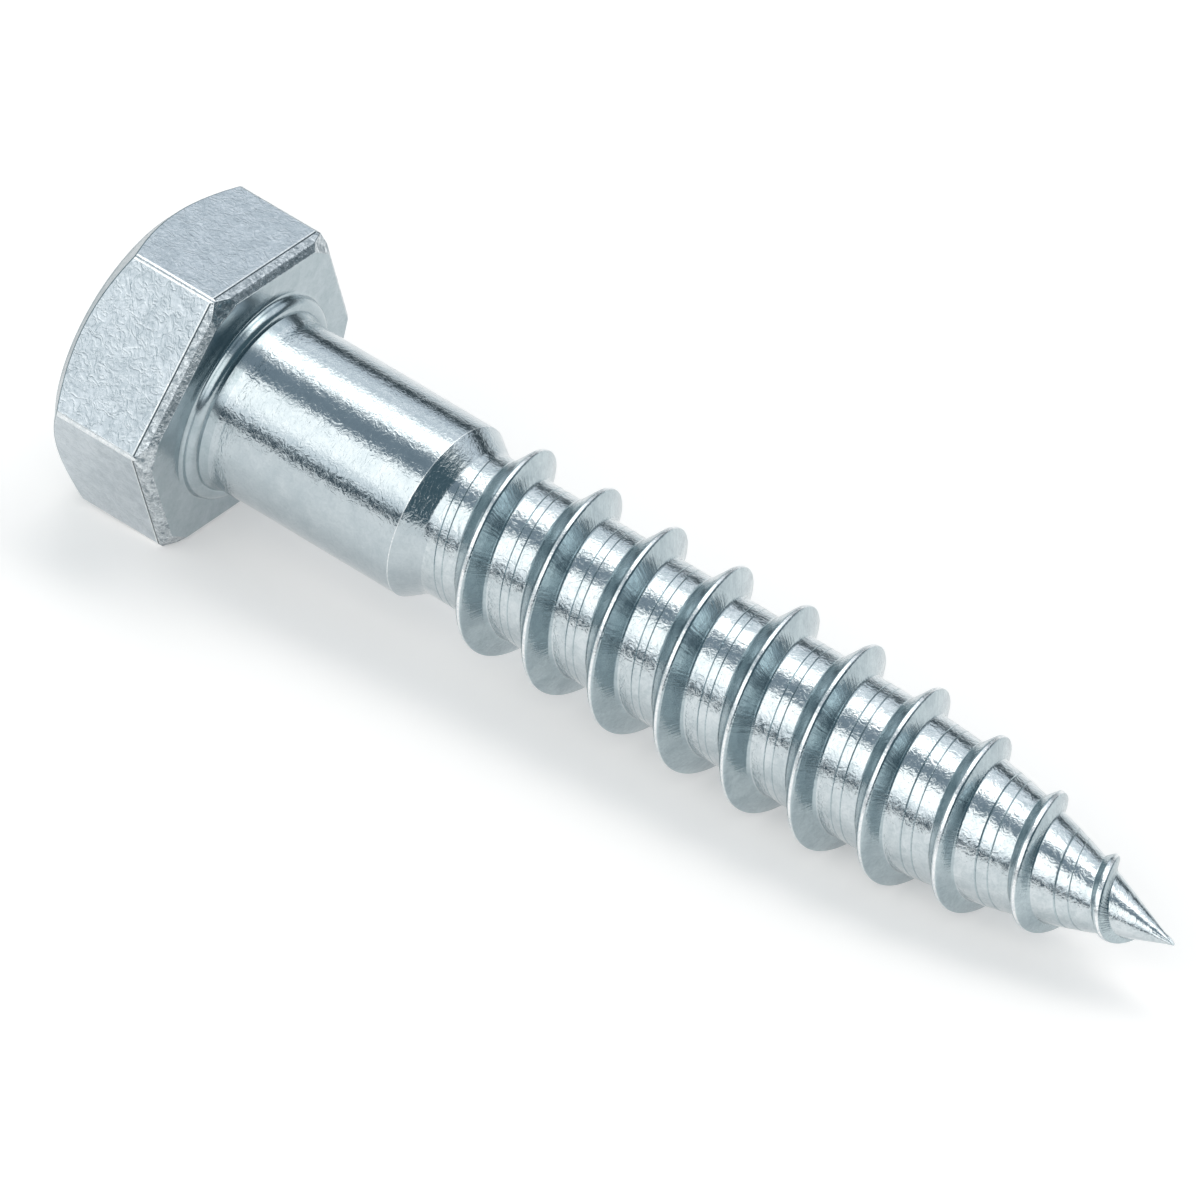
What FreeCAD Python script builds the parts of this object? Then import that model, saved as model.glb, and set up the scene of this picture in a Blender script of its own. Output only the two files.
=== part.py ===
import FreeCAD, Part
import math
import os
import Sketcher

# Lag screw, also called a coach screw: hexagon head, bead under the head, plain shank, shoulder,
# core with a coarse right-hand thread, and a gimlet tip. One piece, all lengths in millimetres.
# The screw is drawn along +X, from the head at -X to the tip at +X, with the bearing face at x = 0
# and one flat of the head upwards. It is then laid down on the ground, as it comes to rest.

SIZES = {
    "across_flats": 19.0,
    "head_height": 8.5,
    "edge_round": 0.35,
    "edge_break": 0.4,
    "crown_inset": 0.8,
    "crown_angle": 35.0,
    "corner_trim": 1.12,
    "trim_angle": 35.0,
    "rim_band": 0.6,
    "rim_fall": 4.0,
    "bead_diameter": 12.8,
    "bead_radius": 0.6,
    "bead_rise": 0.25,
    "shank_diameter": 11.8,
    "shank_length": 15.1,
    "ridge_round": 0.3,
    "shoulder_length": 1.5,
    "shoulder_root": 0.8,
    "core_diameter": 9.7,
    "length": 70.0,
    "tip_angle": 42.0,
    "cone_length": 3.95,
    "pitch": 5.0,
    "crest_diameter": 12.86,
    "crest_land": 0.35,
    "head_flank_angle": 38.0,
    "tip_flank_angle": 24.0,
    "thread_gap": 0.5,
    "start_angle": -173.0,
    "run_in_turns": 0.36,
    "run_out_turns": 0.45,
    "bare_tip": 3.0,
    "thin_length": 23.0,
    "end_height": 0.5,
    "root_sink": 0.4,
}

# Sides of the head, rings that the curved nose is laid over, and places along one turn of the thread
# where its section is set out.
SIDES = 6
NOSE_RINGS = 6
STATIONS_PER_TURN = 24

# The fin's foot reaches at most this share of the core's radius deep, and where the fin ends its
# crest has sunk below the core by this share of the foot's depth.
DEEPEST_FOOT = 0.5
SUNK_CREST = 1 / 3

# Lengths that differ by less than this are the same.
SAME = 1e-4

doc = FreeCAD.newDocument("LagScrew")


def make_sheet():
    """Driving sizes, one row each: the name in column A, the value in column B."""
    sheet = doc.addObject("Spreadsheet::Sheet", "Sizes")
    for row, (name, value) in enumerate(SIZES.items(), start=1):
        sheet.set(f"A{row}", name)
        sheet.set(f"B{row}", str(value))
        sheet.setAlias(f"B{row}", name)
    doc.recompute()
    return sheet


def origin_plane(body, role):
    """Plane of the body's own origin, found by its role."""
    return next(item for item in body.Origin.OriginFeatures if item.Role == role)


def new_sketch(body, name, role):
    """Empty sketch on one of the body's origin planes."""
    sketch = body.newObject("Sketcher::SketchObject", name)
    sketch.AttachmentSupport = [(origin_plane(body, role), "")]
    sketch.MapMode = "FlatFace"
    return sketch


def value_of(sketch, rule):
    """Number that a rule on the sheet's sizes comes to."""
    return float(sketch.evalExpression(rule))


def hold(sketch, kind, line, point, rule):
    """Keep one coordinate of a point at a rule, measured from the sketch's origin."""
    value = value_of(sketch, rule)
    if abs(value) < SAME:
        axis = -2 if kind == "DistanceX" else -1
        sketch.addConstraint(Sketcher.Constraint("PointOnObject", line, point, axis))
        return
    if value > 0:
        index = sketch.addConstraint(Sketcher.Constraint(kind, -1, 1, line, point, value))
        sketch.setExpression(f"Constraints[{index}]", rule)
        return
    index = sketch.addConstraint(Sketcher.Constraint(kind, line, point, -1, 1, -value))
    sketch.setExpression(f"Constraints[{index}]", f"-({rule})")


def draw_polygon(sketch, corners):
    """Closed outline of straight lines, with every corner held by its own two rules."""
    points = [FreeCAD.Vector(value_of(sketch, x), value_of(sketch, y), 0) for x, y in corners]
    count = len(points)
    for i in range(count):
        sketch.addGeometry(Part.LineSegment(points[i], points[(i + 1) % count]))
    for i in range(count):
        sketch.addConstraint(Sketcher.Constraint("Coincident", i, 2, (i + 1) % count, 1))
    for i, (x_rule, y_rule) in enumerate(corners):
        hold(sketch, "DistanceX", i, 1, x_rule)
        hold(sketch, "DistanceY", i, 1, y_rule)


def draw_hexagon(sketch):
    """Hexagon about the origin, with one flat on top, sized across its flats."""
    flats = value_of(sketch, "Sizes.across_flats")
    reach = flats / math.sqrt(3)
    turns = [2 * math.pi * i / SIDES for i in range(SIDES)]
    corners = [FreeCAD.Vector(reach * math.cos(turn), reach * math.sin(turn), 0) for turn in turns]
    for i in range(SIDES):
        sketch.addGeometry(Part.LineSegment(corners[i], corners[(i + 1) % SIDES]))
    circle = sketch.addGeometry(Part.Circle(FreeCAD.Vector(), FreeCAD.Vector(0, 0, 1), reach), True)
    sketch.addConstraint(Sketcher.Constraint("Coincident", circle, 3, -1, 1))
    for i in range(SIDES):
        sketch.addConstraint(Sketcher.Constraint("Coincident", i, 2, (i + 1) % SIDES, 1))
        sketch.addConstraint(Sketcher.Constraint("PointOnObject", i, 1, circle))
    for i in range(1, SIDES):
        sketch.addConstraint(Sketcher.Constraint("Equal", 0, i))
    sketch.addConstraint(Sketcher.Constraint("Horizontal", 1))
    index = sketch.addConstraint(Sketcher.Constraint("DistanceY", 4, 1, 1, 1, flats))
    sketch.setExpression(f"Constraints[{index}]", "Sizes.across_flats")


def edge_names(shape, test):
    """Names of the edges of a shape that pass a test."""
    return [f"Edge{i}" for i, edge in enumerate(shape.Edges, start=1) if test(edge)]


def make_head(body):
    """Hexagon prism from the bearing face back to the crown, its long edges rounded a little."""
    outline = new_sketch(body, "HexagonOutline", "YZ_Plane")
    draw_hexagon(outline)
    pad = body.newObject("PartDesign::Pad", "Hexagon")
    pad.Profile = outline
    pad.Reversed = True
    pad.setExpression("Length", "Sizes.head_height")
    doc.recompute()

    rounding = body.newObject("PartDesign::Fillet", "HexagonEdges")
    long_edges = edge_names(pad.Shape, lambda edge: edge.BoundBox.XLength > SAME)
    rounding.Base = (pad, long_edges)
    rounding.setExpression("Radius", "Sizes.edge_round")
    doc.recompute()


def repeat_cut(body, name, plane, corners):
    """Straight cut across the head, its outline drawn on a plane through the axis, made on all six sides."""
    before = body.Tip.Shape.Volume
    outline = new_sketch(body, f"{name}Outline", plane)
    draw_polygon(outline, corners)
    cut = body.newObject("PartDesign::Pocket", f"{name}Cut")
    cut.Profile = outline
    cut.Midplane = True
    cut.setExpression("Length", "2 * Sizes.across_flats")
    doc.recompute()
    sides = body.newObject("PartDesign::PolarPattern", name)
    sides.Originals = [cut]
    sides.Axis = (outline, ["H_Axis"])
    sides.Angle = 360
    sides.Occurrences = SIDES
    body.Tip = sides
    doc.recompute()
    if sides.Shape.Volume >= before:
        raise RuntimeError(f"{name} cuts nothing")


def trim_bearing_side(body):
    """Corners trimmed flat, and each flat's rim broken after a band that falls away a little.

    The head's weight comes down on one of these bands when the screw lies on its side.
    """
    past = "Sizes.across_flats"
    corner = "Sizes.across_flats / sqrt(3) - Sizes.corner_trim"
    back = f"-({past} - ({corner})) * tan(Sizes.trim_angle * 1deg)"
    repeat_cut(body, "CornerTrims", "XY_Plane", [("0", corner), ("0", past), (back, past)])
    flat = "Sizes.across_flats / 2"
    lip = f"{flat} - Sizes.rim_band * tan(Sizes.rim_fall * 1deg)"
    band_start = "-(Sizes.edge_break + Sizes.rim_band)"
    corners = [
        (band_start, flat),
        ("-Sizes.edge_break", lip),
        ("0", f"{lip} - Sizes.edge_break"),
        ("0", past),
        (band_start, past),
    ]
    repeat_cut(body, "BearingRim", "XZ_Plane", corners)


def cut_crown(body):
    """Conical chamfer on the crown, from inside the flats to well past the corners."""
    before = body.Tip.Shape.Volume
    outline = new_sketch(body, "CrownOutline", "XZ_Plane")
    start = "Sizes.across_flats / 2 - Sizes.crown_inset"
    past = "Sizes.across_flats"
    end = "-Sizes.head_height"
    depth = f"({past} - ({start})) * tan(Sizes.crown_angle * 1deg)"
    draw_polygon(outline, [(end, start), (end, past), (f"{end} + {depth}", past)])
    groove = body.newObject("PartDesign::Groove", "CrownChamfer")
    groove.Profile = outline
    groove.ReferenceAxis = (outline, ["H_Axis"])
    groove.Angle = 360
    doc.recompute()
    if groove.Shape.Volume >= before:
        raise RuntimeError("the crown chamfer cuts nothing")


def draw_profile(sketch, corners, arcs):
    """Closed outline, each corner held by two rules. Some sides are arcs: index to centre and radius."""
    points = [FreeCAD.Vector(value_of(sketch, x), value_of(sketch, y), 0) for x, y in corners]
    count = len(points)
    for i in range(count):
        start, end = points[i], points[(i + 1) % count]
        if i not in arcs:
            sketch.addGeometry(Part.LineSegment(start, end))
            continue
        x_rule, y_rule, radius_rule = arcs[i]
        centre = FreeCAD.Vector(value_of(sketch, x_rule), value_of(sketch, y_rule), 0)
        outwards = ((start + end) / 2 - centre).normalize()
        middle = centre + outwards * value_of(sketch, radius_rule)
        sketch.addGeometry(Part.Arc(start, middle, end))
    # An arc that runs clockwise is stored with its two ends the other way round.
    first = [2 if i in arcs else 1 for i in range(count)]
    last = [1 if i in arcs else 2 for i in range(count)]
    for i in range(count):
        following = (i + 1) % count
        sketch.addConstraint(Sketcher.Constraint("Coincident", i, last[i], following, first[following]))
    for i, (x_rule, y_rule) in enumerate(corners):
        hold(sketch, "DistanceX", i, first[i], x_rule)
        hold(sketch, "DistanceY", i, first[i], y_rule)
    for i, (_, _, radius_rule) in arcs.items():
        index = sketch.addConstraint(Sketcher.Constraint("Radius", i, value_of(sketch, radius_rule)))
        sketch.setExpression(f"Constraints[{index}]", radius_rule)


def nose_rules():
    """Start and radius of the nose, an arc tangent to the core that meets the cone at its own slope."""
    half_tip = "Sizes.tip_angle / 2 * 1deg"
    drop = f"Sizes.core_diameter / 2 - Sizes.cone_length * tan({half_tip})"
    radius = f"({drop}) / (1 - cos({half_tip}))"
    start = f"Sizes.length - Sizes.cone_length - {radius} * sin({half_tip})"
    return start, radius


def make_turned_form(body):
    """Bead, shank, shoulder, core and cone, turned about the screw's axis."""
    outline = new_sketch(body, "TurnedOutline", "XZ_Plane")
    bead = "Sizes.bead_diameter / 2"
    shank = "Sizes.shank_diameter / 2"
    core = "Sizes.core_diameter / 2"
    foot = f"{bead} + Sizes.bead_radius"
    crease = f"Sizes.bead_rise + sqrt(Sizes.bead_radius ^ 2 - ({bead} - {shank}) ^ 2)"
    nose_start, _ = nose_rules()
    sunk = "-Sizes.head_height / 2"
    corners = [
        (sunk, "0"),
        (sunk, foot),
        ("0", foot),
        ("Sizes.bead_rise", foot),
        (crease, shank),
        ("Sizes.shank_length", shank),
        ("Sizes.shank_length + Sizes.shoulder_length", core),
        (nose_start, core),
        ("Sizes.length - Sizes.cone_length", "Sizes.cone_length * tan(Sizes.tip_angle / 2 * 1deg)"),
        ("Sizes.length", "0"),
    ]
    draw_profile(outline, corners, {3: ("Sizes.bead_rise", bead, "Sizes.bead_radius")})
    turned = body.newObject("PartDesign::Revolution", "TurnedForm")
    turned.Profile = outline
    turned.ReferenceAxis = (outline, ["H_Axis"])
    turned.Angle = 360
    doc.recompute()


def make_nose(body):
    """Curved nose between the core and the cone, laid over rings of shrinking size."""
    start, radius = nose_rules()
    rings = []
    for i in range(NOSE_RINGS):
        turned = f"Sizes.tip_angle / 2 * {i} / {NOSE_RINGS - 1} * 1deg"
        ring = new_sketch(body, f"NoseRing{i + 1}", "YZ_Plane")
        ring.setExpression(".AttachmentOffset.Base.z", f"({start} + {radius} * sin({turned})) * 1mm")
        size = f"Sizes.core_diameter / 2 - {radius} * (1 - cos({turned}))"
        circle = Part.Circle(FreeCAD.Vector(), FreeCAD.Vector(0, 0, 1), value_of(ring, size))
        ring.addGeometry(circle)
        ring.addConstraint(Sketcher.Constraint("Coincident", 0, 3, -1, 1))
        index = ring.addConstraint(Sketcher.Constraint("Radius", 0, value_of(ring, size)))
        ring.setExpression(f"Constraints[{index}]", size)
        rings.append(ring)
    doc.recompute()
    nose = body.newObject("PartDesign::AdditiveLoft", "CurvedNose")
    nose.Profile = rings[0]
    nose.Sections = rings[1:]
    doc.recompute()


def round_circle(body, name, place, diameter, radius):
    """Rounding on the turned edge that stands at a place along the axis."""
    base = body.Tip
    x = value_of(base, place)
    ring = value_of(base, diameter) / 2

    def is_ring(edge):
        box = edge.BoundBox
        return box.XLength < SAME and abs(box.XMin - x) < SAME and abs(box.ZMax - ring) < SAME

    rounding = body.newObject("PartDesign::Fillet", name)
    rounding.Base = (base, edge_names(base.Shape, is_ring))
    rounding.setExpression("Radius", radius)
    doc.recompute()


def make_blank():
    """The screw without its thread, as one body."""
    body = doc.addObject("PartDesign::Body", "Blank")
    make_head(body)
    cut_crown(body)
    trim_bearing_side(body)
    make_turned_form(body)
    make_nose(body)
    round_circle(body, "RidgeRounding", "Sizes.shank_length", "Sizes.shank_diameter", "Sizes.ridge_round")
    shoulder_end = "Sizes.shank_length + Sizes.shoulder_length"
    round_circle(body, "ShoulderRoot", shoulder_end, "Sizes.core_diameter", "Sizes.shoulder_root")
    return body


class Thread:
    """Sizes of the helical fin, and the curves that bound it."""

    def __init__(self, sheet):
        for name in SIZES:
            setattr(self, name, float(getattr(sheet, name)))
        self.core = self.core_diameter / 2
        self.start = self.shank_length + self.shoulder_length + self.thread_gap
        self.end = self.length - self.bare_tip
        half_tip = math.radians(self.tip_angle / 2)
        self.cone_start = self.length - self.cone_length
        self.cone_slope = math.tan(half_tip)
        cone_radius = self.cone_length * self.cone_slope
        self.nose_radius = (self.core - cone_radius) / (1 - math.cos(half_tip))
        self.nose_start = self.cone_start - self.nose_radius * math.sin(half_tip)

    def core_radius(self, x):
        """Radius of the core at a place along the axis."""
        if x <= self.nose_start:
            return self.core
        if x >= self.cone_start:
            return (self.length - x) * self.cone_slope
        drop = self.nose_radius - math.sqrt(self.nose_radius ** 2 - (x - self.nose_start) ** 2)
        return self.core - drop

    def full_height(self, x):
        """Height of the fin over the core, less along the tapered nose."""
        height = (self.crest_diameter - self.core_diameter) / 2
        thinned = max(0.0, 1 - (self.end - x) / self.thin_length)
        return height + (self.end_height - height) * thinned

    def crest_radius(self, x):
        """Radius of the crest. At both ends it sinks smoothly below the core's surface."""
        lead_in = min(1.0, (x - self.start) / (self.run_in_turns * self.pitch))
        lead_out = min(1.0, (self.end - x) / (self.run_out_turns * self.pitch))
        share = math.sin(math.pi / 2 * lead_in) * math.sin(math.pi / 2 * lead_out)
        sunk = self.root_depth(x) * SUNK_CREST
        return self.core_radius(x) - sunk + (self.full_height(x) + sunk) * share

    def root_depth(self, x):
        """How far the fin's foot reaches into the core, less where the core is thin."""
        return min(self.root_sink, self.core_radius(x) * DEEPEST_FOOT)

    def turn_angle(self, x):
        """Angle of the helix, from straight up, right-handed about the axis."""
        return math.radians(self.start_angle) + 2 * math.pi * (x - self.start) / self.pitch

    def point(self, x, offset, radius):
        """Point of the fin, at an axial offset from the middle of its crest."""
        angle = self.turn_angle(x)
        return FreeCAD.Vector(x + offset, -radius * math.sin(angle), radius * math.cos(angle))

    def section(self, x):
        """Four corners of the fin: foot and crest on the head's side, crest and foot on the tip's."""
        crest = self.crest_radius(x)
        foot = self.core_radius(x) - self.root_depth(x)
        land = self.crest_land / 2
        headward = land + (crest - foot) * math.tan(math.radians(self.head_flank_angle))
        tipward = land + (crest - foot) * math.tan(math.radians(self.tip_flank_angle))
        return (
            self.point(x, -headward, foot),
            self.point(x, -land, crest),
            self.point(x, land, crest),
            self.point(x, tipward, foot),
        )

    def turns(self):
        """The fin as solids about one turn long, end to end, closed at both ends inside the core."""
        rounds = max(1, round((self.end - self.start) / self.pitch))
        count = rounds * STATIONS_PER_TURN
        stations = [self.start + (self.end - self.start) * i / count for i in range(count + 1)]
        sections = [self.section(x) for x in stations]
        curves = []
        for corner in range(4):
            curve = Part.BSplineCurve()
            curve.interpolate(Points=[section[corner] for section in sections], Parameters=stations)
            curves.append(curve)
        joints = stations[::STATIONS_PER_TURN]
        return [self.length_of_fin(curves, joints[i], joints[i + 1]) for i in range(rounds)]

    def length_of_fin(self, curves, near, far):
        """Solid between two places along the four curves that run along the fin's corners."""
        edges = [Part.Edge(curve, near, far) for curve in curves]
        faces = [Part.makeRuledSurface(edges[i], edges[(i + 1) % 4]) for i in range(4)]
        for place in (near, far):
            corners = [curve.value(place) for curve in curves]
            faces.append(Part.Face(Part.makePolygon([*corners, corners[0]])))
        shell = Part.makeShell(faces)
        shell.sewShape()
        solid = Part.makeSolid(shell)
        if solid.Volume < 0:
            solid.reverse()
        return solid

    def resting_tilt(self):
        """Angle of the axis when the head's lowest band and the thread's crest touch the ground."""
        flat = self.across_flats / 2
        lowest = []
        place = self.start - math.degrees(self.turn_angle(self.start)) / 360 * self.pitch + self.pitch / 2
        while place < self.end:
            if place > self.start:
                reach = place + self.edge_break + self.rim_band
                lowest.append(math.degrees(math.atan2(flat - self.crest_radius(place), reach)))
            place += self.pitch
        return min(lowest)


def make_screw(sheet):
    """Blank and thread fused into the one piece, laid down at rest with its origin on the ground."""
    blank = make_blank()
    thread = Thread(sheet)
    pieces = [blank]
    for number, shape in enumerate(thread.turns(), start=1):
        turn = doc.addObject("Part::Feature", f"ThreadTurn{number}")
        turn.Shape = shape
        pieces.append(turn)
    screw = doc.addObject("Part::MultiFuse", "Screw")
    screw.Shapes = pieces
    screw.Refine = False
    screw.Label = "lag_screw"
    doc.recompute()
    tilt = FreeCAD.Rotation(FreeCAD.Vector(0, 1, 0), thread.resting_tilt())
    screw.Placement = FreeCAD.Placement(FreeCAD.Vector(), tilt)
    box = screw.Shape.optimalBoundingBox(False, False)
    corner = FreeCAD.Vector(-(box.XMin + box.XMax) / 2, -(box.YMin + box.YMax) / 2, -box.ZMin)
    screw.Placement = FreeCAD.Placement(corner, tilt)
    doc.recompute()
    return screw


def check_and_write(pieces):
    """Stop on any failed object or bad solid, then write each piece to its STEP file."""
    for item in doc.Objects:
        if "Invalid" in item.State or "Error" in item.State:
            raise RuntimeError(f"{item.Name} failed: {item.State}")
    os.makedirs("parts", exist_ok=True)
    for piece in pieces:
        shape = piece.Shape
        if shape.isNull() or not shape.isValid() or len(shape.Solids) != 1:
            raise RuntimeError(f"{piece.Label} is not one valid solid")
    for piece in pieces:
        piece.Shape.exportStep(f"parts/{piece.Label}.step")
        box = piece.Shape.optimalBoundingBox(False, False)
        print(piece.Label, round(piece.Shape.Volume, 1), box)


check_and_write([make_screw(make_sheet())])
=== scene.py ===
"""Zinc-plated lag screw lying on a pale studio floor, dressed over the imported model.

The screw is shaped in millimetres along +X, from the crown at -X to the tip at +X, with the bearing
face at x = 0 and one flat of the head upwards. Once it is whole it is laid down at its resting place
in metres.
"""
import logging
import math
from dataclasses import dataclass, field
from enum import Enum
from typing import Any

import bmesh
import bpy
import numpy as np
from mathutils import Euler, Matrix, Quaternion, Vector


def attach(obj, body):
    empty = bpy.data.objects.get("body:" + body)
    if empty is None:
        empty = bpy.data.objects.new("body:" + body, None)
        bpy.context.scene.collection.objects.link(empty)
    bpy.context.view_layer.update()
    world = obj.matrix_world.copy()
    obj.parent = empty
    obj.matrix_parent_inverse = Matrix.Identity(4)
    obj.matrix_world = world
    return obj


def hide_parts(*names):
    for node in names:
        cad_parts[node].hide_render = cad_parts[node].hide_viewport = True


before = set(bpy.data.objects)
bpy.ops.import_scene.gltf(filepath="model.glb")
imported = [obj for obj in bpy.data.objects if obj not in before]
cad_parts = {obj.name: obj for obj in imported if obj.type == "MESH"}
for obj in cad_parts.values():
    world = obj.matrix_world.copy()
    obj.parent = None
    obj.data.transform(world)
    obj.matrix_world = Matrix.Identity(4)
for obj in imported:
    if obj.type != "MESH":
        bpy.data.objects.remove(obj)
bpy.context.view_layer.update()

LOG = logging.getLogger("lag_screw")
MM = 0.001
# Millimetres below which two vertices are one, a vertex is on a cutting plane, and two places along the
# axis are the same.
MERGE = 0.001
ON_PLANE = 1e-4
SAME_PLACE = 0.01
# Sides of the head, and the turn from one to the next in degrees.
SIDES = 6
SIDE_TURN = 360 / SIDES
# Place along the axis, and distance from it.
Point = tuple[float, float]
Places = float | np.ndarray
Tree = bpy.types.NodeTree
Socket = bpy.types.NodeSocket


class Skin(Enum):
    """Regions of the screw that look different: most because they were made in different ways, some
    because light or shade is painted on them.
    """

    HEAD = "cold-forged head"
    # Painted highlight: near-white edges of the head, the rim's first step and the shank's ridge.
    EDGE = "head edge painted pale as a highlight"
    # Painted shade: the crown's chamfer and the edges on the crown's side, darker than the flats.
    TURNED = "crown chamfer painted dark as shade"
    # Painted shade: a narrow dark line round the rim.
    SCORE = "painted shade line round the rim"
    RIM = "tumbled rim"
    SHANK = "drawn shank"
    CORE = "rolled core"
    PRESSED = "face pressed smooth by the dies"
    FLANK = "thread flank wiped by the dies"
    # Painted highlight: a near-white line along the thread's crest.
    CREST = "thread crest painted pale as a highlight"


def linear_colour(code: str) -> tuple[float, float, float, float]:
    """Turn an sRGB hex value into a linear colour.

    Args:
        code: six hex digits, with or without a leading hash.

    Returns:
        Linear red, green and blue, and a full alpha.
    """
    digits = code.lstrip("#")
    channels = [int(digits[i:i + 2], 16) / 255 for i in (0, 2, 4)]
    red, green, blue = (c / 12.92 if c <= 0.04045 else ((c + 0.055) / 1.055) ** 2.4 for c in channels)
    return red, green, blue, 1.0


def add_node(
    tree: Tree,
    kind: str,
    values: dict[str | int, Any] | None = None,
    links: dict[str | int, Socket] | None = None,
    **settings: Any,
) -> bpy.types.Node:
    """Add a node with its settings, its socket values and what feeds it.

    Args:
        tree: tree that the node goes into.
        kind: the node's type name.
        values: constants for input sockets.
        links: sockets that feed input sockets.
        settings: the node's own properties.

    Returns:
        The new node.
    """
    node = tree.nodes.new(kind)
    for name, value in settings.items():
        setattr(node, name, value)
    for socket, value in (values or {}).items():
        node.inputs[socket].default_value = value
    for socket, source in (links or {}).items():
        tree.links.new(source, node.inputs[socket])
    return node


def deselect() -> None:
    """Leave no object selected."""
    bpy.ops.object.select_all(action="DESELECT")


def take_up(piece: bpy.types.Object) -> None:
    """Make one object the only one selected, and active.

    Args:
        piece: object that the next operators work on.
    """
    deselect()
    piece.select_set(True)
    bpy.context.view_layer.objects.active = piece


def apply_modifier(piece: bpy.types.Object, kind: str, **settings: Any) -> None:
    """Put a modifier on a piece and apply it.

    Args:
        piece: object that is changed.
        kind: the modifier's type.
        settings: the modifier's properties.
    """
    take_up(piece)
    modifier = piece.modifiers.new(kind.title(), kind)
    for name, value in settings.items():
        setattr(modifier, name, value)
    bpy.ops.object.modifier_apply(modifier=modifier.name)


def arc(centre: Point, radius: float, start: float, end: float, steps: int) -> list[Point]:
    """Points along an arc in the plane of axis and radius.

    Args:
        centre: place along the axis, and distance from it.
        radius: radius of the arc.
        start: first angle in degrees, 0 towards the tip and 90 away from the axis.
        end: last angle.
        steps: number of straight steps.

    Returns:
        The points in order, ends included.
    """
    angles = [math.radians(start + (end - start) * i / steps) for i in range(steps + 1)]
    return [(centre[0] + radius * math.cos(a), centre[1] + radius * math.sin(a)) for a in angles]


def draw_chain(name: str, points: list[Point]) -> bpy.types.Object:
    """Draw an open chain of edges above the axis, by extruding one vertex from point to point.

    Args:
        name: name of the new object.
        points: place along the axis and distance from it, in order.

    Returns:
        The new object, in edit mode, with its whole chain selected.
    """
    deselect()
    bpy.ops.mesh.primitive_plane_add(size=1, location=(0, 0, 0))
    piece = bpy.context.object
    piece.name = name
    bpy.ops.object.mode_set(mode="EDIT")
    bpy.ops.mesh.select_mode(type="VERT")
    bpy.ops.mesh.select_all(action="SELECT")
    bpy.ops.mesh.merge(type="CENTER")
    bpy.ops.mesh.select_all(action="SELECT")
    place, height = points[0]
    bpy.ops.transform.translate(value=(place, 0, height))
    for (x0, r0), (x1, r1) in zip(points, points[1:]):
        bpy.ops.mesh.extrude_vertices_move(TRANSFORM_OT_translate={"value": (x1 - x0, 0, r1 - r0)})
    bpy.ops.mesh.select_all(action="SELECT")
    return piece


def radial(turn: float) -> Vector:
    """Direction square to the axis, at an angle in degrees from straight up, right-handed about +X."""
    return Vector((0, -math.sin(math.radians(turn)), math.cos(math.radians(turn))))


def slice_off(place: float, radius: float, turn: float, lean: float = 0.0) -> None:
    """Cut the piece in edit mode by a plane, close the cut, and throw away what lies outside.

    Args:
        place: place of a point of the plane along the axis.
        radius: distance of that point from the axis.
        turn: angle of that point about the axis, in degrees.
        lean: how far the plane's outward normal leans from the radius towards the tip, in degrees.
    """
    outward = radial(turn) * math.cos(math.radians(lean)) + Vector((math.sin(math.radians(lean)), 0, 0))
    bpy.ops.mesh.select_all(action="SELECT")
    bpy.ops.mesh.bisect(
        plane_co=radial(turn) * radius + Vector((place, 0, 0)),
        plane_no=outward,
        use_fill=True,
        clear_outer=True,
        threshold=ON_PLANE,
    )


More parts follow.
